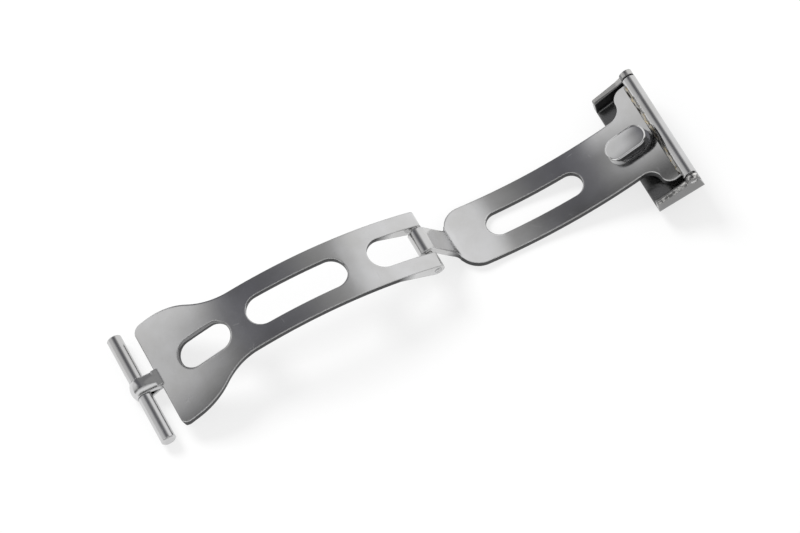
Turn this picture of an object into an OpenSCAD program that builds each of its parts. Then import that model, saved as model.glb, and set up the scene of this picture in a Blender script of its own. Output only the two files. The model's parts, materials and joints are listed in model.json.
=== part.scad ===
// Deployant clasp for a leather watch strap, drawn open.
// Sizes are in millimetres. X runs along the clasp from the T-bar to the clamp bracket, Y runs across it
// and Z runs up. The middle of the underside rests on the origin. While drawing, the fold pin's axis is
// the zero of X and Z, and the module placed() moves every piece from there.

/* [Strap] */
// Width of the strap that fits the clasp
strap_width = 16; // [14:0.5:20]
// Diameter of the bar that holds the short strap
bar_d = 2; // [1.6:0.1:2.2]

/* [Blades] */
// Width of both blades along their middle
blade_width = 8.7; // [8.3:0.1:9.1]
// Sheet thickness of the folding blade
fold_sheet = 0.8; // [0.7:0.05:0.9]
// Sheet thickness of the inner blade
inner_sheet = 0.85; // [0.75:0.05:0.95]
// Radius of the folding blade's outer surface
fold_radius = 44.2; // [43.6:0.2:45]
// Radius of the inner blade's bowl
bowl_radius = 45.5; // [45:0.1:46.2]
// Distance from the fold pin to the axis of the hinge tube
tube_reach = 34.65; // [33:0.05:36]
// Distance from the middle of the window to the folding blade's far edge
end_length = 6.6; // [6.2:0.1:6.8]
// How much narrower than the strap each flared end is
flare_inset = 1; // [0.7:0.05:1.4]

/* [Openings] */
// Length of the window that takes the catch stud
window_length = 7.4; // [7.2:0.1:7.6]
// Width of the window
window_width = 3.7; // [3.5:0.1:4]
// How much nearer to the fold pin the middle of the window is than the hinge tube
window_setback = 3.65; // [3.5:0.05:3.8]
// Length of the folding blade's long slot
fold_slot_length = 13.9; // [8:0.5:14.5]
// Length of the inner blade's long slot
inner_slot_length = 13.9; // [8:0.5:15]
// Width of the two long slots
slot_width = 4.2; // [2.5:0.1:4.6]

/* [Fold hinge] */
// Diameter of the two hinge pins
pin_d = 1; // [0.8:0.05:1.1]
// Diameter of the ears' rounded ends
ear_d = 1.86; // [1.8:0.02:2]
// Diameter of the knuckle at the end of the neck
knuckle_d = 2.4; // [2.2:0.1:2.6]
// Width of the inner blade's neck
neck_width = 3.4; // [2.6:0.1:3.6]
// Gap between the neck and each arm of the fork
neck_gap = 0.45; // [0.3:0.05:0.6]
// Slope of the neck
neck_slope = 52; // [50:1:56]

/* [Catch stud] */
// Length of the stud's head
stud_length = 5.9; // [5.7:0.1:6]
// Width of the stud's head
stud_width = 3.1; // [2.8:0.1:3.2]
// Thickness of the stud's head
head_height = 0.4; // [0.35:0.05:0.5]

/* [Clamp bracket] */
// Sheet thickness of the bracket
bracket_sheet = 0.8; // [0.7:0.05:0.9]
// Depth from the hinge tube's axis to the underside of the plate
bracket_depth = 3.6; // [3.4:0.1:4]
// Length of the plate under the blade
plate_length = 6.9; // [6.3:0.2:7.1]
// Slope of the bracket as drawn
bracket_slope = 22; // [18:1:24]
// Outside diameter of the hinge tube
tube_d = 1.9; // [1.8:0.05:2.1]

/* [Hidden] */
steel = [0.72, 0.72, 0.73];
round_steps = 96;
arc_steps = 360;
outline_steps = 12;
dome_steps = 200;
long = 60;

// Fits: the radial clearance in a running bore, and the play of the tube and the bar between the ears.
run_clearance = 0.05;
side_play = 0.2;

// Folding blade. Its arc is struck from fold_c, seen from which the pin lies fold_tilt from the vertical.
fold_tilt = 20.1;
ear_r = ear_d / 2;
fold_c = [-(fold_radius - ear_r) * sin(fold_tilt), -(fold_radius - ear_r) * cos(fold_tilt)];
fold_half = blade_width / 2;
window_reach = tube_reach - window_setback;
fold_reach = window_reach + end_length;
flare_half = strap_width / 2 - flare_inset / 2;
fork_half = neck_width / 2 + neck_gap;
fork_depth = 7.7;
wedge_length = 5.7;
flare_edge = 12.1;
fold_flare_from = fold_reach - flare_edge;
fold_flare_length = 10;
corner_r = 1.1;
fold_slot_share = 0.52;
fold_slot_x = -fork_depth - fold_slot_share * (window_reach - window_length / 2 - fork_depth);
window_bevel = 0.3;

// Inner blade. Its bowl is struck from bowl_c. The pin stands pin_height above the bowl's surface.
bowl_tilt = 15.74;
pin_height = 2.79;
bowl_c = [(bowl_radius - pin_height) * sin(bowl_tilt), (bowl_radius - pin_height) * cos(bowl_tilt)];
knuckle_r = knuckle_d / 2;
neck_bend = 1.5;
neck_n = [sin(neck_slope), cos(neck_slope)];
neck_d = [cos(neck_slope), -sin(neck_slope)];
shoulder_r = 3.2;
shoulder_x = 7.4;
shoulder_fillet = 0.8;
inner_slot_share = 0.457;
inner_slot_width = slot_width * 0.81;
inner_flare_in = 1.7;
inner_flare_out = flare_half - fold_half - inner_flare_in - 0.05;

// Bend between the neck and the bowl: the centre of its arc touches both surfaces.
bend_base = (knuckle_r + neck_bend) * neck_n;
bend_w = bend_base - bowl_c;
bend_b = bend_w * neck_d;
bend_u = -bend_b + sqrt(bend_b * bend_b - bend_w * bend_w + pow(bowl_radius - neck_bend, 2));
bend_c = bend_base + bend_u * neck_d;
bend_dir = (bend_c - bowl_c) / norm(bend_c - bowl_c);

// Hinge tube: its axis lies tube_sink under the bowl's surface carried on, at tube_reach from the pin.
tube_r = tube_d / 2;
tube_sink = 0.5;
tube_gap = norm(bowl_c);
tube_far = bowl_radius + tube_sink;
tube_turn = acos((tube_gap * tube_gap + tube_far * tube_far - tube_reach * tube_reach)
                 / (2 * tube_gap * tube_far));
tube_angle = tube_turn - bowl_tilt;
tube_axis = bowl_c + tube_far * [sin(tube_angle), -cos(tube_angle)];
inner_flare_edge = 3.03;
inner_flare_x = tube_axis[0] - inner_flare_edge;

// Braze: how far each bead reaches along the blade and rises on the tube, seen from the tube's axis.
braze_reach = 1.15;
braze_shoulder = [0.85, 0.6];
braze_crest = [0.55, 0.76];
braze_inset = 0.3;

// T-bar: the hook is rolled into a groove round the bar's middle, which keeps the bar from sliding out.
// The hook rests level with the underside of the bowl.
bar_r = bar_d / 2;
groove_depth = 0.2;
groove_play = 0.05;
groove_r = bar_r - groove_depth;
hook_r = bar_r + 0.55 * fold_sheet;
hook_width = 2.3;
hook_crown = 2.2;
crown_steps = 4;
crown_cut = 0.02;
crown_run = 0.5;
bar_offset = 2.4;
floor_z = bowl_c[1] - bowl_radius - inner_sheet;
bar_axis = [-fold_reach - bar_offset, floor_z + hook_r - crown_cut];
bar_chamfer = 0.15;

// Shut, the folding blade's outer surface comes down over the bowl and stops just clear of the tube.
function turned(p, a) = [p[0] * cos(a) + p[1] * sin(a), p[1] * cos(a) - p[0] * sin(a)];
function heading(v) = atan2(v[1], v[0]);
shut_gap = 0.12;
shut_arm = fold_radius - ear_r;
shut_span = fold_radius + tube_r + shut_gap;
shut_turn = acos((shut_arm * shut_arm + tube_reach * tube_reach - shut_span * shut_span)
                 / (2 * shut_arm * tube_reach));
shut_angle = 360 + heading(fold_c) - heading(tube_axis) - shut_turn;
shut_c = turned(fold_c, shut_angle);

// Catch stud: it stands where the window lands, so far toward the hinge that its neck just clears the
// window's rim and its head hooks over it. The head's underside clears the folding blade's sheet there,
// where the sheet stands highest above the bowl.
window_a = asin((-window_reach - fold_c[0]) / fold_radius);
window_shut = turned(fold_c + fold_radius * [sin(window_a), cos(window_a)], shut_angle);
window_line = window_shut - bowl_c;
stud_neck_in = 0.35;
catch_gap = 0.06;
head_gap = 0.06;
catch_shift = window_length / 2 - catch_gap - (stud_length / 2 - stud_neck_in);
stud_a = atan2(window_line[0], -window_line[1]) - catch_shift / bowl_radius * 180 / PI;
stud_line = [sin(stud_a), -cos(stud_a)];
rim_a = stud_a - stud_length / 2 / bowl_radius * 180 / PI;
rim_gap = bowl_radius - fold_radius - (shut_c - bowl_c) * [sin(rim_a), -cos(rim_a)];
rim_rise = pow(stud_length / 2, 2) / (2 * bowl_radius);
stud_foot = 0.25;
stud_foot_lip = 0.1;
stud_neck_top = rim_gap + rim_rise + fold_sheet + head_gap;
stud_height = stud_neck_top + head_height;
stud_bevel = 0.15;
stud_x = bowl_c[0] + bowl_radius * stud_line[0];
inner_slot_x = shoulder_x + inner_slot_share * (stud_x - stud_length / 2 - stud_foot_lip - shoulder_x);
stud_dome = 30;
spigot_length = 3.6;
spigot_width = 1.6;

// Bracket.
bracket_half = strap_width / 2 + side_play + bracket_sheet;
bracket_taper = 2.9;
bend_outer = 1;
lobe_r = 0.9;
plate_right = 0.75;
plate_left = plate_right - plate_length;
flange_top_left = [plate_left + 0.6, -0.56];
flange_top_right = [-1.75, -0.25];
plate_corner = 0.5;
flange_corner = 0.3;
pin_r = pin_d / 2;

// Whole clasp.
right_x = tube_axis[0] + plate_right * cos(bracket_slope) + bracket_depth * sin(bracket_slope);
left_x = bar_axis[0] - hook_r + crown_cut;
middle_x = (right_x + left_x) / 2;

module placed() {
    translate([-middle_x, 0, -floor_z]) children();
}

// Turns a drawing of X and Z into a solid that runs across the clasp, even on both sides of the middle.
module across(w) {
    rotate([90, 0, 0]) linear_extrude(w, center = true) children();
}

module rod(c, r, w) {
    translate([c[0], 0, c[1]]) rotate([90, 0, 0]) cylinder(h = w, r = r, center = true, $fn = round_steps);
}

module disc(c, r) {
    translate(c) circle(r, $fn = arc_steps);
}

module stadium(l, w) {
    for (s = [-1, 1]) translate([s * (l - w) / 2, 0]) circle(w / 2, $fn = round_steps);
    square([l - w, w], center = true);
}

// An oblong block from z = 0 to h whose side leans outward by d.
module oblong(l, w, h, d) {
    for (s = [-1, 1]) translate([s * (l - w) / 2, 0, 0])
        cylinder(h = h, r1 = w / 2, r2 = w / 2 + d, $fn = round_steps);
    rotate([90, 0, 90]) linear_extrude(l - w, center = true)
        polygon([[-w / 2, 0], [w / 2, 0], [w / 2 + d, h], [-w / 2 - d, h]]);
}

// Points along an arc of radius r about c from angle a to angle b.
function arc(c, r, a, b) =
    [for (i = [0:outline_steps]) c + r * [cos(a + (b - a) * i / outline_steps),
                                         sin(a + (b - a) * i / outline_steps)]];

// The corner at q between p and s rounded to radius r.
function rounded(p, q, s, r) =
    let (u = (p - q) / norm(p - q), v = (s - q) / norm(s - q), k = r / abs(cross(u, v)), c = q + k * (u + v),
         a = heading(q + (u * (c - q)) * u - c), b = heading(q + (v * (c - q)) * v - c))
    arc(c, r, a, a + (b - a + 540) % 360 - 180);

// One side of a flared end seen from above: from half width h0 at x = 0 by two equal arcs to h1 at x = l,
// then straight on to the end at x = e with a rounded corner.
function flare_side(h0, h1, l, e, corner) =
    let (r = (l * l + pow(h1 - h0, 2)) / (4 * (h1 - h0)), a = asin(l / 2 / r))
    concat([[-1, 0], [-1, h0]], arc([0, h0 + r], r, -90, a - 90), arc([l, h1 - r], r, 90 + a, 90),
           arc([e - corner, h1 - corner], corner, 90, 0), [[e, 0]]);

// The part of a disc swept counter-clockwise from direction p to direction q, both seen from its centre.
module sector(c, r, p, q) {
    a = heading(p - c);
    turn = (heading(q - c) - a + 360) % 360;
    intersection() {
        disc(c, r);
        polygon([c, for (i = [0:4]) c + 2 * r * [cos(a + turn * i / 4), sin(a + turn * i / 4)]]);
    }
}

// Side view of a curved sheet's arc about c between two angles from the vertical, up being 1 or -1.
module arc_sheet(c, r_in, r_out, a0, a1, up) {
    am = (a0 + a1) / 2;
    intersection() {
        difference() {
            disc(c, r_out);
            disc(c, r_in);
        }
        polygon([c, for (a = [a0, am, a1]) c + 1.5 * r_out * [sin(a), up * cos(a)]]);
    }
}

// A tool standing on a blade's surface, square to it, at angle a seen from the arc's centre.
module on_fold(a) {
    translate([fold_c[0], 0, fold_c[1]]) rotate([0, a, 0]) translate([0, 0, fold_radius]) children();
}

module on_bowl(a) {
    translate([bowl_c[0], 0, bowl_c[1]]) rotate([0, -a, 0]) translate([0, 0, -bowl_radius]) children();
}

// An oblong opening through a sheet, broken at its upper rim.
module slot_tool(l, w, bevel, sheet) {
    translate([0, 0, -sheet - 1]) linear_extrude(sheet + 2) stadium(l, w);
    if (bevel > 0) translate([0, 0, -bevel]) oblong(l, w, 2 * bevel, 2 * bevel);
}

// The hook: a strip that leaves the blade's edge, passes over the bar and comes back beneath it.
function touch(p, c, r, s) =
    let (v = c - p, k = norm(v), b = s * asin(r / k), m = sqrt(k * k - r * r))
    p + m / k * [v[0] * cos(b) - v[1] * sin(b), v[0] * sin(b) + v[1] * cos(b)];

fold_end_a = asin((-fold_reach - fold_c[0]) / fold_radius);
fold_end_n = [sin(fold_end_a), cos(fold_end_a)];
fold_end_t = [cos(fold_end_a), -sin(fold_end_a)];
hook_in = 0.4;
hook_root = fold_c + fold_radius * fold_end_n + hook_in * fold_end_t;
hook_heel = fold_c + (fold_radius - fold_sheet) * fold_end_n + hook_in * fold_end_t;
hook_point = fold_c + (fold_radius - fold_sheet) * fold_end_n - hook_in * fold_end_t;

// A disc at c joined to the points p above and q below on its right by two lines that touch it.
module drop(c, r, p, q) {
    over = touch(p, c, r, -1);
    under = touch(q, c, r, 1);
    sector(c, r, over, under);
    polygon([p, over, c - [r / 2, 0], under, q]);
}

// The hook's outside is crowned across: a barrel round the bar, then a strip on to the blade.
function crown(y) = hook_r - crown_cut - hook_crown + sqrt(hook_crown * hook_crown - y * y);

module hook_crowned() {
    step = hook_width / 2 / crown_steps;
    translate([bar_axis[0], 0, bar_axis[1]]) {
        for (s = [0, 1]) mirror([0, s, 0]) for (i = [0:crown_steps - 1])
            translate([0, i * step, 0]) rotate([-90, 0, 0])
                cylinder(h = step, r1 = crown(i * step), r2 = crown((i + 1) * step), $fn = round_steps);
        rotate([90, 0, 90]) linear_extrude(bar_offset)
            polygon([[-hook_width, -2 * hook_r], [hook_width, -2 * hook_r], [hook_width, 0],
                     for (i = [crown_steps:-1:-crown_steps]) [i * step, crown(i * step)],
                     [-hook_width, 0]]);
        translate([bar_offset - crown_run, -hook_width, -hook_width])
            cube([3 * hook_width, 2 * hook_width, 3 * hook_width]);
    }
}

module hook_side() {
    difference() {
        drop(bar_axis, hook_r, hook_root, hook_heel);
        drop(bar_axis, groove_r, hook_point, hook_point);
    }
}

module folding_side() {
    wedge_a = fold_tilt - wedge_length / fold_radius * 180 / PI;
    wedge_p = fold_c + (fold_radius - fold_sheet) * [sin(wedge_a), cos(wedge_a)];
    arc_sheet(fold_c, fold_radius - fold_sheet, fold_radius, fold_end_a, fold_tilt, 1);
    wedge_q = touch(wedge_p, [0, 0], ear_r, -1);
    sector([0, 0], ear_r, wedge_q, [sin(fold_tilt), cos(fold_tilt)]);
    polygon([wedge_p, wedge_q, [ear_r / 2, 0],
             fold_c + (fold_radius - fold_sheet / 2) * [sin(fold_tilt), cos(fold_tilt)],
             fold_c + (fold_radius - fold_sheet / 2) * [sin(wedge_a), cos(wedge_a)]]);
}

module folding_plan() {
    difference() {
        union() {
            translate([-fold_flare_from, -fold_half]) square([fold_flare_from + 2, blade_width]);
            for (t = [0, 1]) mirror([0, t]) translate([-fold_flare_from, 0]) mirror([1, 0])
                polygon(flare_side(fold_half, flare_half, fold_flare_length,
                                   fold_reach - fold_flare_from, corner_r));
        }
        disc([fork_half - fork_depth, 0], fork_half);
        translate([fork_half - fork_depth, -fork_half]) square([long, 2 * fork_half]);
    }
}

module folding_blade() color(steel) placed() difference() {
    union() {
        intersection() {
            across(long) folding_side();
            translate([0, 0, -long / 2]) linear_extrude(long) folding_plan();
        }
        intersection() {
            across(hook_width) hook_side();
            hook_crowned();
        }
    }
    on_fold(window_a) slot_tool(window_length, window_width, window_bevel, fold_sheet);
    on_fold(asin((fold_slot_x - fold_c[0]) / fold_radius))
        slot_tool(fold_slot_length, slot_width, 0, fold_sheet);
    rod([0, 0], pin_r, long);
}

// The space above the inner blade's upper surface moved down by t.
module bowl_space(t) {
    k = 4;
    difference() {
        intersection() {
            disc(bowl_c, bowl_radius + t);
            polygon([for (q = [[0, -1], [1, -1], [1, 1], [0, 1]])
                     (knuckle_r - t + q[0] * long) * neck_n + q[1] * long * neck_d]);
        }
        polygon([bend_c, bend_c - k * neck_n, bend_c - k * neck_n + k * bend_dir, bend_c + k * bend_dir]);
    }
    disc(bend_c, neck_bend + t);
}

module inner_side() {
    difference() {
        intersection() {
            difference() {
                bowl_space(inner_sheet);
                bowl_space(0);
            }
            polygon([bowl_c, 2 * knuckle_r * neck_n, [0, 0], -long * neck_n, [long, -long],
                     bowl_c + long * [sin(tube_angle), -cos(tube_angle)]]);
        }
        disc(tube_axis, tube_r);
    }
    disc([0, 0], knuckle_r);
}

module inner_plan() {
    end_x = tube_axis[0];
    fillet_y = neck_width / 2 + shoulder_fillet;
    shoulder_y = fold_half - shoulder_r;
    fillet_x = shoulder_x - sqrt(pow(shoulder_r + shoulder_fillet, 2) - pow(fillet_y - shoulder_y, 2));
    flare_y = fold_half + inner_flare_in;
    translate([-2, -neck_width / 2]) square([shoulder_x + 2, neck_width]);
    difference() {
        translate([fillet_x, -fillet_y]) square([shoulder_x - fillet_x, 2 * fillet_y]);
        for (s = [-1, 1]) disc([fillet_x, s * fillet_y], shoulder_fillet);
    }
    for (s = [-1, 1]) disc([shoulder_x, s * shoulder_y], shoulder_r);
    translate([shoulder_x, -fold_half]) square([end_x - shoulder_x, blade_width]);
    difference() {
        translate([inner_flare_x - inner_flare_in, -flare_y]) square([inner_flare_in, 2 * flare_y]);
        for (s = [-1, 1]) disc([inner_flare_x - inner_flare_in, s * flare_y], inner_flare_in);
    }
    translate([inner_flare_x, -flare_y]) square([end_x - inner_flare_x, 2 * flare_y]);
    for (s = [-1, 1]) disc([inner_flare_x + inner_flare_out, s * flare_y], inner_flare_out);
    translate([inner_flare_x + inner_flare_out, -flare_y - inner_flare_out])
        square([end_x - inner_flare_x - inner_flare_out, 2 * (flare_y + inner_flare_out)]);
}

module inner_body() {
    intersection() {
        across(long) inner_side();
        translate([0, 0, -long / 2]) linear_extrude(long) inner_plan();
    }
}

module inner_blade() color(steel) placed() difference() {
    inner_body();
    rod([0, 0], pin_r + run_clearance, long);
    on_bowl(asin((inner_slot_x - bowl_c[0]) / bowl_radius))
        slot_tool(inner_slot_length, inner_slot_width, 0, inner_sheet);
    on_bowl(stud_a) translate([0, 0, -inner_sheet - 1])
        linear_extrude(inner_sheet + 2) stadium(spigot_length, spigot_width);
}

module stud_head() {
    neck_l = stud_length - 2 * stud_neck_in;
    neck_w = stud_width - 2 * stud_neck_in;
    translate([0, 0, stud_foot / 2]) linear_extrude(stud_neck_top + stud_bevel - stud_foot / 2)
        stadium(neck_l, neck_w);
    intersection() {
        translate([0, 0, stud_neck_top]) linear_extrude(head_height) stadium(stud_length, stud_width);
        translate([0, 0, stud_height]) mirror([0, 0, 1])
            oblong(stud_length - 2 * stud_bevel, stud_width - 2 * stud_bevel,
                   2 * head_height, 2 * head_height);
    }
}

// The foot follows the bowl, and the spigot below it fills the slot punched through the blade.
module stud_foot() {
    intersection() {
        translate([0, 0, -1]) linear_extrude(1 + stud_foot)
            stadium(stud_length + 2 * stud_foot_lip, stud_width + 2 * stud_foot_lip);
        translate([0, 0, bowl_radius]) rotate([90, 0, 0])
            cylinder(h = long, r = bowl_radius, center = true, $fn = arc_steps);
    }
    intersection() {
        translate([0, 0, -inner_sheet - 1]) linear_extrude(inner_sheet + 1 + stud_foot / 2)
            stadium(spigot_length, spigot_width);
        translate([0, 0, bowl_radius]) rotate([90, 0, 0])
            cylinder(h = long, r = bowl_radius + inner_sheet, center = true, $fn = arc_steps);
    }
}

module catch_stud() color(steel) placed() on_bowl(stud_a) {
    intersection() {
        stud_head();
        translate([0, 0, stud_height - stud_dome]) sphere(stud_dome, $fn = dome_steps);
    }
    stud_foot();
}

module hinge_tube() color(steel) placed() difference() {
    rod(tube_axis, tube_r, strap_width);
    rod(tube_axis, pin_r + run_clearance, strap_width + 1);
}

// Braze fills the groove on both sides of the joint between the inner blade's end and the tube.
module braze_seam() color([0.66, 0.62, 0.52]) placed() difference() {
    across(2 * (flare_half - braze_inset)) {
        seam_n = [sin(tube_angle), -cos(tube_angle)];
        seam_t = [cos(tube_angle), sin(tube_angle)];
        polygon([for (q = [[0, 0], [braze_reach, tube_sink], braze_shoulder, braze_crest])
                 tube_axis - q[0] * seam_t - q[1] * seam_n]);
        polygon([for (q = [[0, 0], braze_crest, braze_shoulder, [braze_reach, inner_sheet - tube_sink]])
                 tube_axis - q[0] * seam_t + q[1] * seam_n]);
    }
    inner_body();
    rod(tube_axis, tube_r, long);
}

module t_bar() color(steel) placed() translate([bar_axis[0], 0, bar_axis[1]]) rotate([90, 0, 0]) {
    arm = strap_width / 2 - bar_chamfer;
    cylinder(h = 2 * arm, r = groove_r, center = true, $fn = round_steps);
    for (s = [0, 1]) mirror([0, 0, s]) {
        translate([0, 0, hook_width / 2 + groove_play])
            cylinder(h = arm - hook_width / 2 - groove_play, r = bar_r, $fn = round_steps);
        translate([0, 0, arm])
            cylinder(h = bar_chamfer, r1 = bar_r, r2 = bar_r - bar_chamfer, $fn = round_steps);
    }
}

module fold_pin() color(steel) placed() rod([0, 0], pin_r, blade_width);

module clamp_side() {
    union() {
        disc([0, 0], lobe_r);
        translate([-lobe_r, -bracket_depth / 2]) square([lobe_r + plate_right, bracket_depth / 2]);
        polygon(concat(rounded(flange_top_left, [plate_left, -bracket_depth],
                               [plate_right, -bracket_depth], plate_corner),
                       rounded([plate_left, -bracket_depth], [plate_right, -bracket_depth],
                               [plate_right, 0], flange_corner),
                       [[plate_right, 0], [-lobe_r, 0], flange_top_right],
                       rounded(flange_top_right, flange_top_left, [plate_left, -bracket_depth],
                               flange_corner)));
    }
}

module clamp_bracket() color(steel) placed() translate([tube_axis[0], 0, tube_axis[1]])
    rotate([0, -bracket_slope, 0]) difference() {
        intersection() {
            for (s = [0, 1]) mirror([0, s, 0]) intersection() {
                translate([-long / 2, 0, -long / 2]) cube([long, long / 2, long]);
                translate([0, bracket_half, -bracket_depth]) rotate([0, 0, bracket_taper])
                    rotate([90, 0, 90]) linear_extrude(long, center = true) clamp_section();
            }
            across(long) clamp_side();
        }
        rod([0, 0], pin_r, long);
    }

// Half of the bracket's section, its outer lower corner at the origin, the plate running toward -X.
module clamp_section() {
    inner_bend = bend_outer - bracket_sheet;
    difference() {
        union() {
            translate([-bracket_half - 1, 0]) square([bracket_half + 1 - bend_outer, bracket_sheet]);
            translate([-bracket_sheet, bend_outer]) square([bracket_sheet, 2 * bracket_depth]);
            translate([-bend_outer, bend_outer]) circle(bend_outer, $fn = round_steps);
        }
        translate([-bend_outer, bend_outer]) circle(inner_bend, $fn = round_steps);
        translate([-2 * bend_outer, bend_outer]) square([2 * bend_outer - bracket_sheet, bend_outer]);
        translate([-2 * bend_outer, bracket_sheet]) square([bend_outer, bend_outer]);
    }
}

module clamp_pin() color(steel) placed() rod(tube_axis, pin_r, 2 * bracket_half);

inner_blade();
catch_stud();
hinge_tube();
braze_seam();
folding_blade();
t_bar();
fold_pin();
clamp_bracket();
clamp_pin();
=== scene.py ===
import json
import math
import random

import bmesh
import bpy
from mathutils import Matrix, Vector


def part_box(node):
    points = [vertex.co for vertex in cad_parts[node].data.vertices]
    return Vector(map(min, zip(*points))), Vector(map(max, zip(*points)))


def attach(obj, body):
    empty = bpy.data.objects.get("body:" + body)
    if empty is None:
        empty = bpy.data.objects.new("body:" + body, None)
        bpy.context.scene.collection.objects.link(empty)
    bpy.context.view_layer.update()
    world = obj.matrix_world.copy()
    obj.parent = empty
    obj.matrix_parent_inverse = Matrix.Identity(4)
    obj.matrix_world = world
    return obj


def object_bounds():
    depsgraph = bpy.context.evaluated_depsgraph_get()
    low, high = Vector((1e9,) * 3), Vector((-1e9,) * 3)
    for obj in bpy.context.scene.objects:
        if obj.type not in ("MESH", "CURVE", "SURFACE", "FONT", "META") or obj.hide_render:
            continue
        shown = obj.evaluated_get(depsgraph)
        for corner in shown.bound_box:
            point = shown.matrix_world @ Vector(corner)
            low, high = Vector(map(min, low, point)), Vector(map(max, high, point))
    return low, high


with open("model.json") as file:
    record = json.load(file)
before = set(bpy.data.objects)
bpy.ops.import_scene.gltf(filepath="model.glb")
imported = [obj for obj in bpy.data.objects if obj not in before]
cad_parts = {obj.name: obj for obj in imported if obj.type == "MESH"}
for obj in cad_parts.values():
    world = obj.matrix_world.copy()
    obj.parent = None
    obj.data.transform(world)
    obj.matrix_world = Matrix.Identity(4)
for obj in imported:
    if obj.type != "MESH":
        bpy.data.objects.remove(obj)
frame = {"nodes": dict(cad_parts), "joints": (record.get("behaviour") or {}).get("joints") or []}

# %% [markdown]
# A deployant clasp is the folding buckle of a watch strap: two curved steel blades on a hinge, a bar for the
# short strap and a bracket that pinches the long one. The solids come in from the construction model, in
# metres, with Z up, and they stay where they are. This lesson gives them their finish and adds what a solid
# model leaves out: the lumpy braze, the peened pin ends and the marks of use. Another way would be to
# remodel the blades as subdivision surfaces, but then the hinges would no longer fit their pins.

# %% The solids and a few measures
MM = 0.001
nodes = frame["nodes"]
cad_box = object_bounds()


def joint_place(name):
    joint = next(j for j in frame["joints"] if j["name"] == name)
    return Vector(joint["pos_m"])


fold_pin_axis = joint_place("fold")
clamp_pin_axis = joint_place("clamp")
bar_low, bar_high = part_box("t_bar")
bar_axis = (Vector(bar_low) + Vector(bar_high)) / 2
clasp_size = [round((b - a) / MM, 2) for a, b in zip(*cad_box)]
print("clasp, mm:", clasp_size, "nodes:", len(nodes))

# %% [markdown]
# The camera looks from high in front, a little from the left, through a long lens, so the clasp shows almost
# no perspective. Its place is given as the frame that a camera carries: one axis to the right, one up and
# one back toward the lens. A tracking constraint could aim it too, but the frame is easier to measure from
# a picture, and it needs nothing in the scene to aim at.

# %% Camera
PICTURE_WIDTH = 800
PIXELS_PER_METRE = 7864.33
SENSOR_WIDTH = 36
TURN, HEIGHT_ANGLE = math.radians(27.9131), math.radians(62.9734)
CAMERA_DISTANCE = 445.352 * MM
AIM_LEFT, AIM_DOWN = 2.82481 * MM, 2.94518 * MM

ahead = Vector((math.sin(TURN), math.cos(TURN), 0))
right = Vector((math.cos(TURN), -math.sin(TURN), 0))
up = ahead * math.sin(HEIGHT_ANGLE) + Vector((0, 0, math.cos(HEIGHT_ANGLE)))
back = Vector((0, 0, math.sin(HEIGHT_ANGLE))) - ahead * math.cos(HEIGHT_ANGLE)
camera_data = bpy.data.cameras.new("photo_camera")
camera_data.sensor_width = SENSOR_WIDTH
camera_data.lens = PIXELS_PER_METRE * CAMERA_DISTANCE * SENSOR_WIDTH / PICTURE_WIDTH
camera_data.clip_start = 10 * MM
camera = bpy.data.objects.new("photo_camera", camera_data)
bpy.context.scene.collection.objects.link(camera)
eye = fold_pin_axis - right * AIM_LEFT - up * AIM_DOWN + back * CAMERA_DISTANCE
camera.matrix_world = Matrix.Translation(eye) @ Matrix((right, up, back)).transposed().to_4x4()
bpy.context.scene.camera = camera
print("lens, mm:", round(camera_data.lens, 1))

# %% [markdown]
# A material is a graph of nodes, and writing its links by hand is dull. The first helper sets one input or
# links it to another node. The second makes a node and sets its inputs by name, so that each finish below
# reads as a list. The graphs could also be drawn in the shader editor, but a written one is easier to copy
# and to change.

# %% Two helpers that write node graphs


def feed(tree, value, socket):
    if isinstance(value, bpy.types.NodeSocket):
        tree.links.new(value, socket)
    else:
        socket.default_value = value


def add(tree, kind, label="", inputs=None, **settings):
    node = tree.nodes.new(kind)
    if label:
        node.name = node.label = label
    for key, value in settings.items():
        setattr(node, key, value)
    for name, value in (inputs or {}).items():
        feed(tree, value, node.inputs[name])
    return node


print("helpers: feed, add")

# %% [markdown]
# A few kinds of node turn up everywhere: sums of numbers and of vectors, a value that rises from 0 to 1, a
# mix of two colours and a colour ramp. Each gets a short name and gives back the socket to go on from. They
# could be written out each time, but then the graphs are much longer to read.

# %% Helpers for the nodes that are used most


def maths(tree, operation, *values, clamp=False):
    node = add(tree, "ShaderNodeMath", operation=operation, use_clamp=clamp)
    for socket, value in zip(node.inputs, values):
        feed(tree, value, socket)
    return node.outputs[0]


def vectors(tree, operation, *values):
    node = add(tree, "ShaderNodeVectorMath", operation=operation)
    for socket, value in zip(node.inputs, values):
        feed(tree, value, socket)
    return node.outputs["Value" if operation in ("DOT_PRODUCT", "LENGTH") else "Vector"]


def scaled(tree, vector, factor):
    node = add(tree, "ShaderNodeVectorMath", "scaled", {"Vector": vector, "Scale": factor},
               operation="SCALE")
    return node.outputs["Vector"]


def rise(tree, value, start, end, smooth=False, label=""):
    node = add(tree, "ShaderNodeMapRange", label, {"Value": value, "From Min": start, "From Max": end},
               interpolation_type="SMOOTHSTEP" if smooth else "LINEAR")
    return node.outputs["Result"]


def mixed(tree, share, a, b, label, **settings):
    node = add(tree, "ShaderNodeMix", label, {"Factor": share}, data_type="RGBA", **settings)
    feed(tree, a, node.inputs["A"])
    feed(tree, b, node.inputs["B"])
    return node.outputs["Result"]


def ramp(tree, source, stops, label):
    node = add(tree, "ShaderNodeValToRGB", label, {"Fac": source})
    elements = node.color_ramp.elements
    while len(elements) < len(stops):
        elements.new(0.5)
    for element, (place, colour) in zip(elements, stops):
        element.position = place
        element.color = (*colour, 1) if isinstance(colour, tuple) else (colour, colour, colour, 1)
    return node.outputs["Color"]


print("helpers: maths, vectors, scaled, rise, mixed, ramp")

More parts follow.
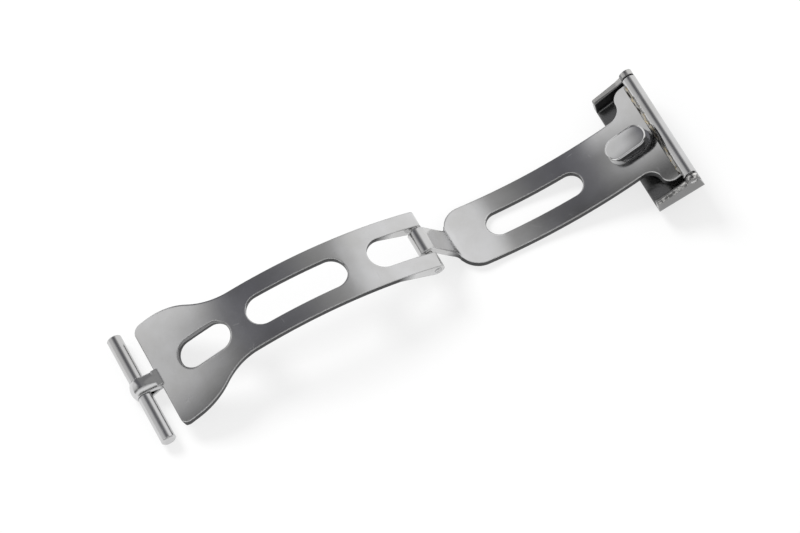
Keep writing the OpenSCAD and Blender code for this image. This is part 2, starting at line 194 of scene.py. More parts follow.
# %% [markdown]
# Polished steel has almost no colour of its own: it shows the room. A studio room for small metal things is
# a white tent with a dark ceiling round the camera, and that dark band is what draws the curve of each
# blade. The world is painted by direction: behind the clasp it is bright toward both ends and dark between.
# Five parts are laid over that: a light panel far to the left, a dim stretch, a softbox overhead, the dark
# side of the camera, which gives every rounded edge its thin dark line, and low behind the camera a light
# wall, so the clasp doesn't turn black when it is seen from the other side. The tent could also be built
# from real softboxes, which then stand in the way of the other views.

# %% The tent, painted on the world
# From the far left (0) to the far right (1): how light the tent is behind the clasp.
TENT_ALONG = [(0.0, 0.78), (0.19, 0.68), (0.27, 0.42), (0.34, (0.215, 0.215, 0.23)),
              (0.42, (0.15, 0.15, 0.165)), (0.53, (0.185, 0.185, 0.195)), (0.60, 0.31), (0.665, 0.43),
              (0.72, 0.9), (0.84, 1.0)]

world = bpy.data.worlds.new("white_tent")
bpy.context.scene.world = world
world.use_nodes = True
world.cycles.sampling_method = "NONE"
tent = world.node_tree
tent.nodes.clear()
direction = add(tent, "ShaderNodeTexCoord").outputs["Generated"]
sight = add(tent, "ShaderNodeSeparateXYZ", "direction", {"Vector": direction})
along = maths(tent, "MULTIPLY_ADD", sight.outputs["X"], 0.5, 0.5)
room = ramp(tent, along, TENT_ALONG, "tent behind the clasp")

far_left = rise(tent, sight.outputs["X"], -0.26, -0.46, smooth=True, label="far left")
left_half = rise(tent, sight.outputs["X"], 0.1, -0.15, smooth=True, label="left half")
# Directions run from -1 to 1, along the clasp from left to right and across it from the camera's side to
# the back. Each part: its name, how light it is, where across the clasp it begins and where it is full, and
# the share of it that is there along the clasp.
TENT_PARTS = [("light panel far left", 0.85, 0.44, 0.62, far_left),
              ("dim between", 0.1, 0.36, 0.1, left_half),
              ("softbox overhead", 1.0, 0.08, -0.06, 1.0),
              ("dark side of the camera", 0.04, -0.3, -0.55, 1.0),
              ("light wall behind the camera", 0.6, -0.6, -0.78, 1.0)]
for label, light, begins, full, within in TENT_PARTS:
    share = rise(tent, sight.outputs["Y"], begins, full, smooth=True, label=label)
    room = mixed(tent, maths(tent, "MULTIPLY", share, within), room, (light, light, light, 1), label)
print("tent stops:", len(TENT_ALONG), "parts:", len(TENT_PARTS))

# %% [markdown]
# Steel sees the painted tent, and the camera sees plain white beside the floor. The light that reaches the
# paper from all around is held at about two thirds, and the lamp adds the rest. One white world for all
# would be simpler, but then the paper holds hardly any shadow.

# %% What steel, paper and camera see of the tent
LIGHT_ON_PAPER = 0.68
rays = add(tent, "ShaderNodeLightPath")
for_paper = maths(tent, "MULTIPLY_ADD", rays.outputs["Is Diffuse Ray"], LIGHT_ON_PAPER - 1, 1.0)
seen = mixed(tent, rays.outputs["Is Glossy Ray"], for_paper, room, "what steel sees")
glow = add(tent, "ShaderNodeBackground", "tent", {"Color": seen, "Strength": 1.0})
add(tent, "ShaderNodeOutputWorld", "", {"Surface": glow.outputs[0]})
bpy.context.scene.view_settings.view_transform = "Standard"
print("light on the paper from all around:", LIGHT_ON_PAPER)

# %% [markdown]
# The floor is a matt white sheet, large enough to fill every view. Most of what is seen of it is plain white
# and the rest is lit paper, so it looks like a light table and still holds a faint shadow. A sheet lit by
# the lamp alone would be simpler, but its shadow comes out much deeper.

# %% Floor
FLOOR_REACH = 3.0
FLOOR_DROP = 0.02 * MM
PAPER_WHITE = (0.94, 0.94, 0.94, 1)
LIT_FROM_BEHIND = 0.7

paper = bpy.data.materials.new("white_sheet")
paper.use_nodes = True
tree = paper.node_tree
lit_paper = tree.nodes["Principled BSDF"]
lit_paper.inputs["Base Color"].default_value = PAPER_WHITE
lit_paper.inputs["Roughness"].default_value = 0.9
lit_paper.inputs["Specular IOR Level"].default_value = 0.0
rays = add(tree, "ShaderNodeLightPath")
bright = maths(tree, "MAXIMUM", rays.outputs["Is Camera Ray"], rays.outputs["Is Glossy Ray"])
bright = maths(tree, "MAXIMUM", bright, rays.outputs["Is Transmission Ray"])
white = add(tree, "ShaderNodeEmission", "lit from behind", {"Color": (1, 1, 1, 1), "Strength": 1.0})
both = add(tree, "ShaderNodeMixShader", "mostly lit from behind",
           {"Fac": maths(tree, "MULTIPLY", bright, LIT_FROM_BEHIND)})
feed(tree, lit_paper.outputs[0], both.inputs[1])
feed(tree, white.outputs[0], both.inputs[2])
feed(tree, both.outputs[0], tree.nodes["Material Output"].inputs["Surface"])

corners = [(x * FLOOR_REACH, y * FLOOR_REACH, 0) for x, y in ((-1, -1), (1, -1), (1, 1), (-1, 1))]
sheet_mesh = bpy.data.meshes.new("floor")
sheet_mesh.from_pydata(corners, [], [(0, 1, 2, 3)])
sheet_mesh.materials.append(paper)
floor = bpy.data.objects.new("floor", sheet_mesh)
floor.location.z = -FLOOR_DROP
bpy.context.scene.collection.objects.link(floor)
print("floor, m:", 2 * FLOOR_REACH)

# %% [markdown]
# One wide lamp behind and to the left gives the clasp its soft shadow at the lower right. The lamp isn't
# mirrored in the steel, because the tent already holds all that the steel shows. A small lamp would do too,
# but its shadow has a hard edge.

# %% Lamp
lamp_data = bpy.data.lights.new("soft_lamp", "AREA")
lamp_data.shape = "DISK"
lamp_data.size = 0.35
lamp_data.energy = 4.3
lamp = bpy.data.objects.new("soft_lamp", lamp_data)
lamp.location = Vector((-0.22, 0.5, 0.6))
lamp.rotation_euler = (-lamp.location).to_track_quat("-Z", "Y").to_euler()
lamp.visible_glossy = False
bpy.context.scene.collection.objects.link(lamp)
print("lamp, W:", lamp_data.energy)

# %% [markdown]
# What several finishes share is a node group, made once and used with other values in each. These helpers
# open a group with named inputs and outputs and link what it gives. They also give what most groups need:
# the place on the piece, which moves with it, the way a face looks as the piece has it, and the turn from
# the piece back to the room. The nodes could be repeated in each finish, but then a change has to be made
# in all of them.

# %% Helpers for shared groups
FLOAT, VECTOR = "NodeSocketFloat", "NodeSocketVector"
NOWHERE = (0.0, 0.0, 0.0)


def new_group(name, sockets_in, sockets_out):
    group = bpy.data.node_groups.new(name, "ShaderNodeTree")
    for label, kind, value in sockets_in:
        socket = group.interface.new_socket(label, in_out="INPUT", socket_type=kind)
        if value is not None:
            socket.default_value = value
    for label, kind in sockets_out:
        group.interface.new_socket(label, in_out="OUTPUT", socket_type=kind)
    return group, add(group, "NodeGroupInput").outputs, add(group, "NodeGroupOutput").inputs


def put_out(group, result, values):
    for name, value in values.items():
        feed(group, value, result[name])
    print("group:", group.name, "gives", sorted(values))


def own_place(tree):
    return add(tree, "ShaderNodeTexCoord").outputs["Object"]


def own_facing(tree):
    node = add(tree, "ShaderNodeVectorTransform", "to the piece",
               {"Vector": add(tree, "ShaderNodeNewGeometry").outputs["True Normal"]},
               vector_type="NORMAL", convert_from="WORLD", convert_to="OBJECT")
    return node.outputs[0]


def to_room(tree, vector):
    node = add(tree, "ShaderNodeVectorTransform", "to the room", {"Vector": vector},
               vector_type="VECTOR", convert_from="OBJECT", convert_to="WORLD")
    return node.outputs[0]


print("helpers: new_group, put_out, own_place, own_facing, to_room")

# %% [markdown]
# Every stamped and tumbled edge of the clasp is a little round. The Bevel node of the shader rounds the
# shading normal near an edge, so a thin bright line runs along it while the solid keeps its exact size. A
# bevel modifier could do it too, but it changes the mesh. The group also gives a mask of the rounded zone,
# made by comparing the rounded normal with the plain one.

# %% Shared group: rounded edges
EDGE_CONTRAST = 3.0
rounded_edges, given, result = new_group(
    "rounded_edges", [("Radius", FLOAT, 0.15 * MM)], [("Normal", VECTOR), ("Edge", FLOAT)])
rounded = add(rounded_edges, "ShaderNodeBevel", "rounded", {"Radius": given["Radius"]},
              samples=6).outputs["Normal"]
plain = add(rounded_edges, "ShaderNodeNewGeometry").outputs["Normal"]
turned_by = maths(rounded_edges, "SUBTRACT", 1.0,
                  vectors(rounded_edges, "DOT_PRODUCT", rounded, plain))
put_out(rounded_edges, result, {
    "Normal": rounded,
    "Edge": maths(rounded_edges, "MULTIPLY", turned_by, EDGE_CONTRAST, clamp=True)})

# %% [markdown]
# A soft buffing wheel takes a little more off toward the long edges, so a flat-looking blade is faintly
# crowned across its width. A few hundredths of a millimetre are enough to turn the mirror image by some
# degrees, and they show as a change of tone from the near edge to the far one. The group leans the normal by
# the place across the clasp, and by a small lean along it that may grow toward one end. The crown could be
# modelled too, but the solid stays as it is, so that the blades still nest.

# %% Shared group: buffed faces
# Crown and lean growth say how much more the normal leans with each metre, lean how much it does at 0.
buffed_face, given, result = new_group(
    "buffed_face", [("Normal", VECTOR, None), ("Crown", FLOAT, 0.0), ("Lean", FLOAT, 0.0),
                    ("Lean growth", FLOAT, 0.0)], [("Normal", VECTOR)])
where = add(buffed_face, "ShaderNodeSeparateXYZ", "along and across", {"Vector": own_place(buffed_face)})
lean = maths(buffed_face, "MULTIPLY_ADD", where.outputs["X"], given["Lean growth"], given["Lean"])
crowned = maths(buffed_face, "MULTIPLY", where.outputs["Y"], given["Crown"])
lean_of_face = add(buffed_face, "ShaderNodeCombineXYZ", "lean of the face", {"X": lean, "Y": crowned})
leaned = vectors(buffed_face, "ADD", given["Normal"], to_room(buffed_face, lean_of_face.outputs[0]))
put_out(buffed_face, result, {"Normal": vectors(buffed_face, "NORMALIZE", leaned)})

# %% [markdown]
# The stud's top is rubbed into a soft pillow, rounder than the shallow dome it was turned with. The group
# points the normal away from a centre below the top, wherever the face already looks roughly that way, and
# leaves the sides alone. Toward the outline, which is a straight middle with two round ends, it leans the
# normal further out, so that the rim draws a bright line. The foot, below the middle, is left as it is. The
# Bevel node could round the rim as well, but between the stud's head and foot it gives grainy shading.

# %% Shared group: domed top
# How far above the stud's middle its head starts.
HEAD_STARTS = 0.6 * MM
# How well a face agrees with the pillow, as a cosine, where it begins to count as top and where it does.
TOP_BEGINS, TOP_FULL = 0.9, 0.94
domed_top, given, result = new_group(
    "domed_top", [("Normal", VECTOR, None), ("Centre", VECTOR, NOWHERE), ("Middle", VECTOR, NOWHERE),
                  ("Along", VECTOR, (1.0, 0.0, 0.0)), ("Half straight", FLOAT, 1.0 * MM),
                  ("Half width", FLOAT, 1.0 * MM), ("Rim", FLOAT, 0.3 * MM), ("Rim lean", FLOAT, 1.0)],
    [("Normal", VECTOR)])
place = own_place(domed_top)
outward = vectors(domed_top, "NORMALIZE", vectors(domed_top, "SUBTRACT", place, given["Centre"]))

from_middle = vectors(domed_top, "SUBTRACT", place, given["Middle"])
lengthwise = vectors(domed_top, "DOT_PRODUCT", from_middle, given["Along"])
past_straight = maths(domed_top, "MAXIMUM", 0.0, maths(
    domed_top, "SUBTRACT", maths(domed_top, "ABSOLUTE", lengthwise), given["Half straight"]))
past_straight = maths(domed_top, "MULTIPLY", past_straight, maths(domed_top, "SIGN", lengthwise))
to_outline = vectors(domed_top, "ADD", scaled(domed_top, given["Along"], past_straight),
                     vectors(domed_top, "MULTIPLY", from_middle, (0, 1, 0)))
inside_by = maths(domed_top, "SUBTRACT", given["Half width"], vectors(domed_top, "LENGTH", to_outline))
rim_share = rise(domed_top, inside_by, given["Rim"], 0.0, smooth=True, label="rim")
above_middle = vectors(domed_top, "DOT_PRODUCT", from_middle, outward)
rim_share = maths(domed_top, "MULTIPLY", rim_share,
                  maths(domed_top, "GREATER_THAN", above_middle, HEAD_STARTS))
rim_lean = scaled(domed_top, vectors(domed_top, "NORMALIZE", to_outline),
                  maths(domed_top, "MULTIPLY", rim_share, given["Rim lean"]))

pillow = to_room(domed_top, vectors(domed_top, "ADD", outward, rim_lean))
pillow = vectors(domed_top, "NORMALIZE", pillow)
true_facing = add(domed_top, "ShaderNodeNewGeometry").outputs["True Normal"]
agree = vectors(domed_top, "DOT_PRODUCT", to_room(domed_top, outward), true_facing)
chosen = add(domed_top, "ShaderNodeMix", "pillow on top",
             {"Factor": rise(domed_top, agree, TOP_BEGINS, TOP_FULL, label="top only")},
             data_type="VECTOR")
feed(domed_top, given["Normal"], chosen.inputs["A"])
feed(domed_top, pillow, chosen.inputs["B"])
put_out(domed_top, result, {"Normal": chosen.outputs["Result"]})

# %% [markdown]
# A punch leaves the cut edges of a sheet rough. Here their colour is also painted near black, a painted
# shade that stands in for the dark reflections and shade on them, so they read as dark outlines round the
# blade, the slots and the window. On a blade bent to an arc, a cut edge is any face that doesn't look along
# the arc's radius. The group compares the two, from the arc's centre, and leaves out the hinge and the bar,
# where the sheet itself is rolled round. A second material on the cut faces could do it too, but then the
# mesh would have to be sorted face by face.

# %% Shared group: cut edges, where shade is painted
# Round each place, nothing is masked nearer than the first distance, and all walls are beyond the second.
LEFT_OUT = {"Hinge": (3.5 * MM, 6.0 * MM), "Bar": (2.2 * MM, 2.8 * MM)}
cut_wall_shade, given, result = new_group(
    "cut_wall_shade", [("Arc centre", VECTOR, NOWHERE), ("Hinge", VECTOR, NOWHERE), ("Bar", VECTOR, NOWHERE),
                  ("Begins", FLOAT, 0.85), ("Full", FLOAT, 0.55)], [("Mask", FLOAT)])
place = own_place(cut_wall_shade)


def side_view_from(centre):
    gap = vectors(cut_wall_shade, "SUBTRACT", place, given[centre])
    return vectors(cut_wall_shade, "MULTIPLY", gap, (1, 0, 1))


radius_line = vectors(cut_wall_shade, "NORMALIZE", side_view_from("Arc centre"))
looks_along = vectors(cut_wall_shade, "DOT_PRODUCT", own_facing(cut_wall_shade), radius_line)
mask = rise(cut_wall_shade, maths(cut_wall_shade, "ABSOLUTE", looks_along), given["Begins"], given["Full"],
            label="walls")
for centre, (near, beyond) in LEFT_OUT.items():
    gap = vectors(cut_wall_shade, "LENGTH", side_view_from(centre))
    mask = maths(cut_wall_shade, "MULTIPLY", mask,
                 rise(cut_wall_shade, gap, near, beyond, label="clear of the " + centre.lower()))
put_out(cut_wall_shade, result, {"Mask": mask})

# %% [markdown]
# The inside of the pressed bracket is painted dark, a painted shade for the recess between its flanges.
# This group finds faces that look toward the clasp's middle line: their normal and their place across the
# clasp have opposite signs. It also finds the faces of each flange's upper edge that look up. On the near
# flange they are painted light in patches that follow the torn metal of the shear, a painted highlight, and
# on the far one only a little lighter, a painted highlight too. Vertex colours could mark the same faces,
# but the solids' meshes aren't touched.

# %% Shared group: inner sides, painted shade and painted edge highlights
LOOKS_UP = 0.6
# How fast the shade painted inside the bracket grows as a face turns inward.
INWARD_CONTRAST = 1.3
# How light the far flange's upward edge is painted, a painted highlight.
FAR_EDGE_HIGHLIGHT = 0.55
inner_shade_and_edges, given, result = new_group(
    "inner_shade_and_edges", [("Flange from", FLOAT, 8.3 * MM)], [("Mask", FLOAT), ("Painted edge light", FLOAT)])
place = own_place(inner_shade_and_edges)
side = add(inner_shade_and_edges, "ShaderNodeSeparateXYZ", "place across", {"Vector": place}).outputs["Y"]
facing = add(inner_shade_and_edges, "ShaderNodeSeparateXYZ", "facing", {"Vector": own_facing(inner_shade_and_edges)})
inward = maths(inner_shade_and_edges, "MULTIPLY", maths(inner_shade_and_edges, "SIGN", side), facing.outputs["Y"])

near_side = maths(inner_shade_and_edges, "MULTIPLY", side, -1.0)
on_near_flange = maths(inner_shade_and_edges, "GREATER_THAN", near_side, given["Flange from"])
on_far_flange = maths(inner_shade_and_edges, "GREATER_THAN", side, given["Flange from"])
looks_up = maths(inner_shade_and_edges, "GREATER_THAN", facing.outputs["Z"], LOOKS_UP)
# A painted highlight on the flange tops; on the near one it comes in patches that follow the torn metal.
torn = add(inner_shade_and_edges, "ShaderNodeTexNoise", "torn", {"Vector": place, "Scale": 2400.0, "Detail": 3.0})
torn_edge_highlight = maths(inner_shade_and_edges, "MULTIPLY", maths(inner_shade_and_edges, "MULTIPLY", on_near_flange, looks_up),
                  rise(inner_shade_and_edges, torn.outputs["Fac"], 0.4, 0.6, label="patchy"))
far_edge_highlight = maths(inner_shade_and_edges, "MULTIPLY", on_far_flange, looks_up)
# The mask is where shade is painted inside the bracket.
put_out(inner_shade_and_edges, result, {
    "Mask": maths(inner_shade_and_edges, "MULTIPLY", inward, -INWARD_CONTRAST, clamp=True),
    "Painted edge light": maths(inner_shade_and_edges, "MULTIPLY_ADD", far_edge_highlight, FAR_EDGE_HIGHLIGHT, torn_edge_highlight)})

# %% [markdown]
# A buffing wheel leaves fine lines in the direction it ran: lengthwise on the blades, and lengthwise too on
# drawn wire and tube. The lines are noise squeezed hard across that direction. The vector input says how
# many times per metre the noise repeats along X, Y and Z, so one group serves every piece, where a picture
# of brushed steel would need each piece unwrapped.

# %% Shared group: buffing lines
buffing_lines, given, result = new_group(
    "buffing_lines", [("Repeats", VECTOR, (120.0, 9000.0, 9000.0)), ("Depth", FLOAT, 1.0)],
    [("Height", FLOAT), ("Mask", FLOAT)])
squeezed = vectors(buffing_lines, "MULTIPLY", own_place(buffing_lines), given["Repeats"])
lines = add(buffing_lines, "ShaderNodeTexNoise", "lines",
            {"Vector": squeezed, "Scale": 1.0, "Detail": 3.0, "Roughness": 0.6}).outputs["Fac"]
put_out(buffing_lines, result, {
    "Height": maths(buffing_lines, "MULTIPLY", lines, given["Depth"]),
    "Mask": rise(buffing_lines, lines, 0.58, 0.75, label="deeper ones")})

# %% [markdown]
# A clasp that has been handled carries a few short scratches in any direction, and a thin uneven haze where
# fingers touched it. The scratches are the borders of a cell pattern, bent a little and cut short by noise.
# The haze is slow noise, and it only changes the roughness and the tint a little. Scratches could be drawn
# one by one as curves, but a pattern covers every piece at once.

# %% Shared group: signs of handling
BEND_OF_CELLS = 0.6 * MM
handling, given, result = new_group(
    "handling", [("Scratches", FLOAT, 0.5), ("Haze size", FLOAT, 260.0)],
    [("Scratch", FLOAT), ("Haze", FLOAT)])
place = own_place(handling)
bend = add(handling, "ShaderNodeTexNoise", "bend", {"Vector": place, "Scale": 350.0, "Detail": 1.0})
bent = mixed(handling, BEND_OF_CELLS, place, bend.outputs["Color"], "bend the cells",
             blend_type="ADD")
cells = add(handling, "ShaderNodeTexVoronoi", "cells", {"Vector": bent, "Scale": 210.0},
            feature="DISTANCE_TO_EDGE")
borders = rise(handling, cells.outputs["Distance"], 0.012, 0.0, label="thin borders")
cut = add(handling, "ShaderNodeTexNoise", "cut short", {"Vector": place, "Scale": 520.0, "Detail": 1.0})
short = rise(handling, cut.outputs["Fac"], 0.6, 0.66, label="short pieces")
haze = add(handling, "ShaderNodeTexNoise", "haze",
           {"Vector": place, "Scale": given["Haze size"], "Detail": 4.0})
put_out(handling, result, {
    "Scratch": maths(handling, "MULTIPLY", maths(handling, "MULTIPLY", borders, short),
                     given["Scratches"]),
    "Haze": haze.outputs["Fac"]})

# %% [markdown]
# One function writes every steel finish, because they differ only in values: how grey the steel is, how
# smooth it was rubbed, which way the lines run, how round the edges are, how the face leans, and where
# shade is painted dark, with a highlight painted light on the bracket's flange tops. The shaded faces are
# rougher too. The colour changes a little with the haze, worn edges are smoother, and scratches are rougher
# and sit in the bump. Five materials drawn by hand would drift apart with each change.

# %% One function for the steel finishes
WARM_TINT, COOL_TINT = (0.93, 0.925, 0.92), (1.04, 1.04, 1.05)
# A light grey for the painted highlight on flange tops, and a near black for painted shade.
PAINTED_EDGE_LIGHT = (0.8, 0.79, 0.77, 1)
PAINTED_SHADE_COLOUR = (0.03, 0.03, 0.032, 1)
LINE_HEIGHT = 0.004 * MM
SCRATCH_DEPTH_IN_LINES = 1.5
# Shares of a finish's own roughness.
WITHOUT_HAZE, HAZE_ADDS, LINES_ADD, EDGES_TAKE = 0.75, 0.5, 0.35, 0.4
# Roughness that is added alike to all.
SCRATCHES_ADD, SHADED_FACES_ROUGHNESS_ADDS = 0.3, 0.35


def group_node(tree, group, values=None):
    node = add(tree, "ShaderNodeGroup", group.name, node_tree=group)
    for name, value in (values or {}).items():
        feed(tree, value, node.inputs[name])
    return node


def new_metal(name):
    material = bpy.data.materials.new(name)
    material.use_nodes = True
    shader = material.node_tree.nodes["Principled BSDF"]
    shader.inputs["Metallic"].default_value = 1.0
    return material, material.node_tree, shader


def tinted(grey, tint):
    return tuple(grey * part for part in tint)


def steel(name, grey, roughness, repeats, line_depth, edge_radius, scratches,
          face=(buffed_face, {}), shade_painter=None):
    material, tree, shader = new_metal(name)
    edges = group_node(tree, rounded_edges, {"Radius": edge_radius})
    lines = group_node(tree, buffing_lines, {"Repeats": repeats, "Depth": line_depth})
    worn = group_node(tree, handling, {"Scratches": scratches})
    colour = ramp(tree, worn.outputs["Haze"],
                  [(0.35, tinted(grey, WARM_TINT)), (0.65, tinted(grey, COOL_TINT))], "steel colour")
    rough = maths(tree, "MULTIPLY_ADD", worn.outputs["Haze"], roughness * HAZE_ADDS,
                  roughness * WITHOUT_HAZE)
    rough = maths(tree, "MULTIPLY_ADD", lines.outputs["Mask"], roughness * LINES_ADD, rough)
    rough = maths(tree, "MULTIPLY_ADD", worn.outputs["Scratch"], SCRATCHES_ADD, rough)
    # Painted light and shade: the mask paints shade near black, and an edge output paints a highlight.
    if shade_painter:
        finder, finder_values, darkness = shade_painter
        shade_finder = group_node(tree, finder, finder_values)
        if "Painted edge light" in shade_finder.outputs:
            colour = mixed(tree, shade_finder.outputs["Painted edge light"], colour, PAINTED_EDGE_LIGHT, "painted edge lights")
        painted_shade = maths(tree, "MULTIPLY", shade_finder.outputs["Mask"], darkness)
        colour = mixed(tree, painted_shade, colour, PAINTED_SHADE_COLOUR, "unpolished is dark")
        rough = maths(tree, "MULTIPLY_ADD", painted_shade, SHADED_FACES_ROUGHNESS_ADDS, rough)
    feed(tree, colour, shader.inputs["Base Color"])
    rough = maths(tree, "MULTIPLY_ADD", edges.outputs["Edge"], -roughness * EDGES_TAKE, rough, clamp=True)
    feed(tree, rough, shader.inputs["Roughness"])
    shaper, shape_values = face
    leaned = group_node(tree, shaper, {**shape_values, "Normal": edges.outputs["Normal"]})
    height = maths(tree, "MULTIPLY_ADD", worn.outputs["Scratch"], -SCRATCH_DEPTH_IN_LINES,
                   lines.outputs["Height"])
    bump = add(tree, "ShaderNodeBump", "lines and scratches",
               {"Strength": 0.5, "Distance": LINE_HEIGHT, "Height": height,
                "Normal": leaned.outputs["Normal"]})
    feed(tree, bump.outputs["Normal"], shader.inputs["Normal"])
    return material


print("helpers: group_node, new_metal, tinted, steel")

# %% [markdown]
# Both blades are bent to an arc, the folding one round a centre below it and the bowl round a centre above.
# The two centres are those of the construction model. Each blade has its own crown, and the bowl leans a
# little along its length as well, as a face buffed by hand does. One finish for both would be simpler, but
# then the tones of one blade or the other are wrong.

# %% Steel of the blades
ALONG_X, ALONG_Y = (90.0, 7000.0, 7000.0), (7000.0, 90.0, 7000.0)
ARCH_CENTRE = (-12.495 * MM, 0.0, -35.394 * MM)
BOWL_CENTRE = (13.961 * MM, 0.0, 46.350 * MM)
# How near black the cut edges are painted: a painted shade.
CUT_EDGE_PAINTED_SHADE = 0.95


def cut_edge_shade_for(arc_centre, begins=0.85, full=0.55):
    values = {"Arc centre": arc_centre, "Hinge": tuple(fold_pin_axis), "Bar": tuple(bar_axis),
              "Begins": begins, "Full": full}
    return cut_wall_shade, values, CUT_EDGE_PAINTED_SHADE


blade_finish = {"grey": 0.62, "roughness": 0.13, "repeats": ALONG_X, "line_depth": 0.6,
                "edge_radius": 0.3 * MM, "scratches": 0.5}
polished_steel = steel("polished_steel", **blade_finish, face=(buffed_face, {"Crown": 17.0}),
                       shade_painter=cut_edge_shade_for(ARCH_CENTRE))
bowl_steel = steel("bowl_steel", **blade_finish,
                   face=(buffed_face, {"Crown": 26.0, "Lean": 0.15, "Lean growth": -6.75}),
                   shade_painter=cut_edge_shade_for(BOWL_CENTRE))
print("steels:", polished_steel.name, bowl_steel.name)

# %% [markdown]
# The stud stands on the bowl like a spoke, so its axis points at the bowl's centre. Its box gives its middle
# but not its tilt, so its own directions are worked out from the bowl. The pillow's centre lies deep below
# the top and a little toward the bracket, because the top falls away more on the side of the hinge. The
# finish of the blades could serve here too, but it has no rim.

# %% Steel of the stud
PILLOW_RADIUS = 15 * MM
PILLOW_SHIFT = 1.2 * MM
TOP_ABOVE_MIDDLE = 1.5 * MM
STUD_HALF_LENGTH = 2.95 * MM
FOOT_LIP = 0.1 * MM

stud_low, stud_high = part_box("catch_stud")
stud_middle = Vector(((stud_low.x + stud_high.x) / 2, 0, (stud_low.z + stud_high.z) / 2))
stud_half_width = (stud_high.y - stud_low.y) / 2 - FOOT_LIP
stud_way = (Vector(BOWL_CENTRE) - stud_middle).normalized()
along_stud = Vector((stud_way.z, 0, -stud_way.x))
pillow_centre = (stud_middle + stud_way * (TOP_ABOVE_MIDDLE - PILLOW_RADIUS)
                 + along_stud * PILLOW_SHIFT)
stud_shape = {"Centre": tuple(pillow_centre), "Middle": tuple(stud_middle), "Along": tuple(along_stud),
              "Half straight": STUD_HALF_LENGTH - stud_half_width, "Half width": stud_half_width,
              "Rim": 0.32 * MM, "Rim lean": 1.0}
# The stud's steep sides are painted dark by the cut-edge group too, a painted shade; its sloped rim is left
# out.
stud_steel = steel("stud_steel", grey=0.66, roughness=0.12, repeats=(200.0, 2000.0, 2000.0),
                   line_depth=0.05, edge_radius=0.0, scratches=0.2, face=(domed_top, stud_shape),
                   shade_painter=cut_edge_shade_for(BOWL_CENTRE, begins=0.6, full=0.3))
print("stud, half width in mm:", round(stud_half_width / MM, 2))

# %% [markdown]
# The bracket is pressed from sheet and left a duller satin, with shade painted dark inside and a highlight
# painted on its flange tops. Wire, tube and pins were drawn through a die, so their lines run along them. A
# satin look could also come from a rougher shader alone, but then it has no direction.

# %% Steel of the bracket, the bar, the tube and the pins
# How dark the shade painted inside the bracket is.
INSIDE_PAINTED_SHADE = 0.85
satin_steel = steel("satin_steel", grey=0.215, roughness=0.2, repeats=(120.0, 4000.0, 4000.0),
                    line_depth=0.7, edge_radius=0.3 * MM, scratches=0.6,
                    shade_painter=(inner_shade_and_edges, {}, INSIDE_PAINTED_SHADE))
drawn_steel = steel("drawn_steel", grey=0.60, roughness=0.17, repeats=ALONG_Y, line_depth=1.2,
                    edge_radius=0.2 * MM, scratches=0.6)
print("steels:", satin_steel.name, drawn_steel.name)

# %% [markdown]
# Braze is a yellow alloy that was melted into the joint and ground over, so grey steel and yellow metal lie
# side by side, with small dark pits where gas came out. Its colour is a ramp over uneven noise, and a second
# noise gives the pits, which are dark, rough and deep. A cell pattern gives pits too, but they come out too
# even in size.

# %% Braze
DRAWN_OUT = (1, 0.4, 1)
BRAZE_COLOURS = [(0.44, (0.34, 0.34, 0.33)), (0.58, (0.50, 0.48, 0.44)), (0.64, (0.60, 0.47, 0.24)),
                 (0.70, (0.72, 0.70, 0.62))]
PIT_COLOUR = (0.07, 0.062, 0.055, 1)
PIT_DEPTH = 0.05 * MM

braze, tree, shader = new_metal("braze")
place = vectors(tree, "MULTIPLY", own_place(tree), DRAWN_OUT)
patches = add(tree, "ShaderNodeTexNoise", "patches",
              {"Vector": place, "Scale": 2600.0, "Detail": 4.0}).outputs["Fac"]
gas = add(tree, "ShaderNodeTexNoise", "gas pits", {"Vector": place, "Scale": 2100.0, "Detail": 2.0})
pits = rise(tree, gas.outputs["Fac"], 0.53, 0.64, label="pits")
metal = ramp(tree, patches, BRAZE_COLOURS, "grey to yellow")
feed(tree, mixed(tree, pits, metal, PIT_COLOUR, "pits are dark"), shader.inputs["Base Color"])
feed(tree, maths(tree, "MULTIPLY_ADD", pits, 0.4, 0.28), shader.inputs["Roughness"])
edges = group_node(tree, rounded_edges, {"Radius": 0.1 * MM})
pitted = add(tree, "ShaderNodeBump", "pitted",
             {"Strength": 0.8, "Distance": PIT_DEPTH, "Normal": edges.outputs["Normal"],
              "Height": maths(tree, "MULTIPLY_ADD", pits, -1.0, patches)})
feed(tree, pitted.outputs["Normal"], shader.inputs["Normal"])
print("material:", braze.name)

# %% [markdown]
# Each solid keeps its mesh and only gets a finish in its material slot: the blades and the stud are
# polished, the bracket is satin, and bar, tube and pins are drawn. Joining the solids would save slots, but
# then nothing could turn on its pin.

# %% Finishes on the solids
FINISH = {"inner_blade": bowl_steel, "catch_stud": stud_steel, "folding_blade": polished_steel,
          "hinge_tube": drawn_steel, "t_bar": drawn_steel, "fold_pin": drawn_steel,
          "clamp_pin": drawn_steel, "clamp_bracket": satin_steel, "braze_seam": braze}
for name, finish in FINISH.items():
    for slot in nodes[name].material_slots:
        slot.material = finish
print("finished:", sorted(FINISH))

# %% [markdown]
# Two kinds of small piece are added: a bead of braze and the ends of the pins. Both are rings of points
# carried along a line, so one function joins rings to a closed mesh, and another gives a mesh its finish and
# says which body it moves with. Curves with a bevel could do this too, but their rings and closed ends are
# harder to place exactly.

# %% Helpers for added pieces


def ring_of_points(centre, half_x, half_z, sides):
    angles = [2 * math.pi * j / sides for j in range(sides)]
    return [centre + Vector((half_x * math.cos(a), 0, half_z * math.sin(a))) for a in angles]


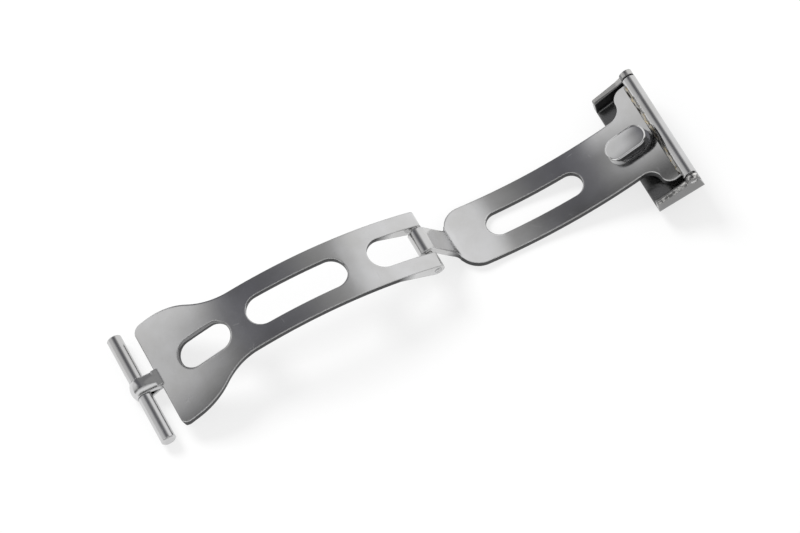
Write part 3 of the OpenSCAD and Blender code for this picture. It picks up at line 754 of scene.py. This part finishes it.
def joined_rings(name, rings):
    mesh = bpy.data.meshes.new(name)
    count = len(rings[0])
    points = [point for ring in rings for point in ring]
    faces = []
    for i in range(len(rings) - 1):
        for j in range(count):
            k = (j + 1) % count
            faces.append((i * count + j, i * count + k, (i + 1) * count + k, (i + 1) * count + j))
    faces.append(tuple(range(count)))
    faces.append(tuple(len(points) - 1 - j for j in range(count)))
    mesh.from_pydata(points, [], faces)
    outward_faces = bmesh.new()
    outward_faces.from_mesh(mesh)
    bmesh.ops.recalc_face_normals(outward_faces, faces=outward_faces.faces)
    outward_faces.to_mesh(mesh)
    outward_faces.free()
    return mesh


def piece(name, mesh, material, body):
    mesh.materials.append(material)
    for face in mesh.polygons:
        face.use_smooth = True
    obj = bpy.data.objects.new(name, mesh)
    bpy.context.scene.collection.objects.link(obj)
    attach(obj, body)
    return obj


print("helpers: ring_of_points, joined_rings, piece")

# %% [markdown]
# The braze that shows is not a flat fillet but a thin lumpy bead between the blade's end and the tube. It is
# a swept mesh: a small round section is carried across the clasp, and its radius and place wander by a
# seeded random walk, so it comes out the same each time. A plain tube with bumps in its shading would be
# lighter, but its outline would stay straight.

# %% Braze bead
BEAD_FROM_PIN = Vector((-0.82 * MM, 0, 0.42 * MM))
BEAD_END_GAP = 0.1 * MM
BEAD_RINGS, BEAD_SIDES = 150, 12
BEAD_RADIUS_MM, WIDER_THAN_TALL = 0.06, 1.1
# The random walk: what each ring keeps from the last one, and how far it may step, in mm.
WANDER_KEPT, WANDER_STEP = 0.8, 0.016
SWELL_KEPT, SWELL_STEP = 0.7, 0.02
# Toward its ends the bead thins, at this slope and down to this share of its radius.
TAPER, END_SHARE = 4, 0.15

lumps = random.Random(4)
bead_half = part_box("braze_seam")[1].y - BEAD_END_GAP
bead_centre = Vector((clamp_pin_axis.x, 0, clamp_pin_axis.z)) + BEAD_FROM_PIN
rings, wander, swell = [], 0.0, 0.0
for i in range(BEAD_RINGS + 1):
    wander = WANDER_KEPT * wander + lumps.uniform(-WANDER_STEP, WANDER_STEP)
    swell = SWELL_KEPT * swell + lumps.uniform(-SWELL_STEP, SWELL_STEP)
    end = min(1.0, TAPER * min(i, BEAD_RINGS - i) / BEAD_RINGS + END_SHARE)
    radius = (BEAD_RADIUS_MM + swell) * MM * end
    across = -bead_half + 2 * bead_half * i / BEAD_RINGS
    rings.append(ring_of_points(bead_centre + Vector((wander * MM, across, 0)),
                                WIDER_THAN_TALL * radius, radius, BEAD_SIDES))
bead = piece("braze_bead", joined_rings("braze_bead", rings), braze, "inner")
print("braze bead, mm:", [round(v / MM, 2) for v in bead.dimensions])

# %% [markdown]
# A hinge pin is set by hammering its ends, which leaves a low dome with a dark ring where it meets the ear.
# The dome is a lathed profile: a few points of radius and height, turned round the pin's axis. Half a sphere
# would be quicker, but a hammered end is flat on top and steep at the rim.

# %% Peened pin ends
# Each point: the share of the radius, and the share of the height that stands proud of the ear.
END_PROFILE = [(1.0, -0.25), (1.0, 0.1), (0.93, 0.45), (0.75, 0.78), (0.45, 0.95), (0.15, 1.0)]
END_RADIUS, END_SIDES = 0.47 * MM, 32
# Each pin: its body, its axis, and how far its ends stand proud.
PINS = [("fold_pin", "folding", fold_pin_axis, 0.05 * MM),
        ("clamp_pin", "clamp", clamp_pin_axis, 0.04 * MM)]

for pin, body, axis, proud in PINS:
    low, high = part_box(pin)
    for word, side, y in (("far", 1, high.y), ("near", -1, low.y)):
        rings = [ring_of_points(Vector((axis.x, y + side * proud * height, axis.z)),
                                END_RADIUS * share, END_RADIUS * share, END_SIDES)
                 for share, height in END_PROFILE]
        name = pin + "_end_" + word
        piece(name, joined_rings(name, rings), drawn_steel, body)
print("pin ends:", 2 * len(PINS))
